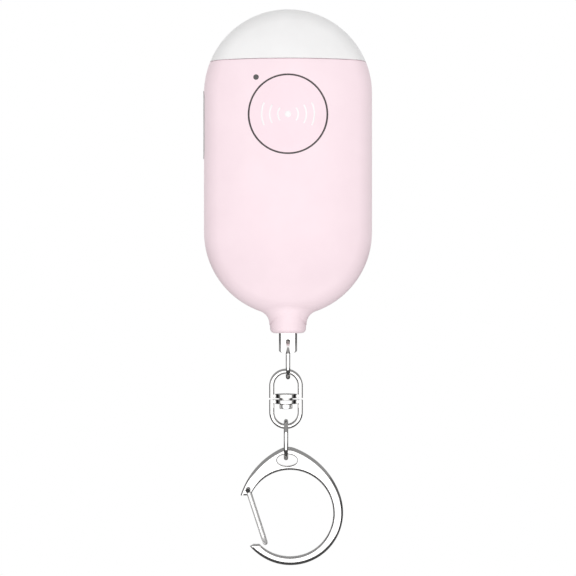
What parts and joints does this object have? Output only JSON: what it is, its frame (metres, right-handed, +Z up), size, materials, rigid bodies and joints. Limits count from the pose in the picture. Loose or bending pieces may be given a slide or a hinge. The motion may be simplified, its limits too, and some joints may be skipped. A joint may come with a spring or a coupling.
{
  "type": "personal safety alarm",
  "caption": "Pale pink capsule-shaped personal alarm with a milky light dome, a round dished button, a steel pull pin, and a short swivel chain ending in a spring-gate hook.",
  "frame": {"origin": "centre of the flat rear face of the casing", "axes": "+Y out of the rear face, +Z up towards the light dome, +X to the right as seen from the button side"},
  "size_m": [0.0382, 0.018, 0.1256],
  "materials": {
    "pink_plastic": "satin moulded plastic",
    "pink_button": "satin moulded plastic",
    "milky_plastic": "milky translucent moulding",
    "screw_steel": "plated",
    "dark_silicone": "matt",
    "pale_silicone": "matt",
    "black_plastic": "matt",
    "white_plastic": "satin",
    "smoked_plastic": "clear smoked",
    "board_laminate": "solder resist",
    "tinned_steel": "tinned",
    "copper_wire": "enamelled copper",
    "can_aluminium": "satin",
    "foam_pad": "adhesive foam",
    "contact_brass": "bright",
    "pin_steel": "polished",
    "chain_steel": "polished nickel plate",
    "hook_metal": "polished nickel plate"
  },
  "bodies": {
    "casing": {"front_shell": "pink_plastic", "rear_shell": "pink_plastic", "lamp_dome": "milky_plastic", "case_screws": "screw_steel", "button_seal": "dark_silicone", "circuit_board": "board_laminate", "button_switch": "tinned_steel", "control_chips": "black_plastic", "boost_coil": "copper_wire", "storage_capacitor": "can_aluminium", "usb_socket": "tinned_steel", "usb_tongue": "black_plastic", "lamp_leds": "white_plastic", "lamp_tray": "white_plastic", "indicator_lens": "smoked_plastic", "indicator_led": "white_plastic", "battery": "can_aluminium", "battery_pad": "foam_pad", "battery_leads": "copper_wire", "siren_ring": "dark_silicone", "siren_plate": "contact_brass", "siren_ceramic": "white_plastic", "siren_leads": "copper_wire", "pin_guide": "contact_brass", "pin_seal": "dark_silicone", "pin_switch": "black_plastic", "fixed_contact": "contact_brass"},
    "button": {"alarm_button": "pink_button", "switch_plunger": "black_plastic"},
    "cover": {"port_cover": "pale_silicone"},
    "pin": {"pull_pin": "pin_steel"},
    "contact": {"moving_contact": "contact_brass"},
    "first_link": {"upper_link": "chain_steel"},
    "swivel_top": {"swivel_upper": "chain_steel", "swivel_rivet": "chain_steel"},
    "swivel_base": {"swivel_lower": "chain_steel"},
    "second_link": {"lower_link": "chain_steel"},
    "hook": {"hook_frame": "hook_metal"},
    "gate": {"hook_gate": "chain_steel"}
  },
  "joints": [
    {"name": "button_press", "type": "slide", "parent": "casing", "child": "button", "axis": [0, 1, 0], "range_m": [0, 0.0005], "stiffness_N_per_m": 1500, "springref_m": -0.001},
    {"name": "cover_swing", "type": "hinge", "parent": "casing", "child": "cover", "pos_m": [-0.01915, -0.0082, 0.00088], "axis": [0, -1, 0], "range_deg": [0, 110]},
    {"name": "pin_pull", "type": "slide", "parent": "casing", "child": "pin", "axis": [0, 0, -1], "range_m": [0, 0.014]},
    {"name": "contact_close", "type": "hinge", "parent": "casing", "child": "contact", "pos_m": [0.0022, -0.009, -0.02205], "axis": [0, 1, 0], "range_deg": [0, 8.1]},
    {"name": "first_link_swing", "type": "hinge", "parent": "pin", "child": "first_link", "pos_m": [0, -0.009, -0.0404], "axis": [0, 1, 0], "range_deg": [-60, 60]},
    {"name": "swivel_swing", "type": "hinge", "parent": "first_link", "child": "swivel_top", "pos_m": [-0.00045, -0.009, -0.04713], "axis": [1, 0, 0], "range_deg": [-60, 60]},
    {"name": "swivel_spin", "type": "hinge", "parent": "swivel_top", "child": "swivel_base", "pos_m": [-0.00045, -0.009, -0.05337], "axis": [0, 0, 1], "continuous": true},
    {"name": "second_link_swing", "type": "hinge", "parent": "swivel_base", "child": "second_link", "pos_m": [-0.00045, -0.009, -0.05962], "axis": [1, 0, 0], "range_deg": [-60, 60]},
    {"name": "hook_swing", "type": "hinge", "parent": "second_link", "child": "hook", "pos_m": [-0.00045, -0.009, -0.06675], "axis": [0, 1, 0], "range_deg": [-60, 60]},
    {"name": "gate_open", "type": "hinge", "parent": "hook", "child": "gate", "pos_m": [-0.00903, -0.009, -0.07389], "axis": [0, -1, 0], "range_deg": [0, 35], "stiffness_Nm_per_rad": 0.03, "springref_deg": -28.65}
  ],
  "couplings": [
    {"joint": "contact_close", "follows": "pin_pull", "rad_per_m": 9.97}
  ]
}
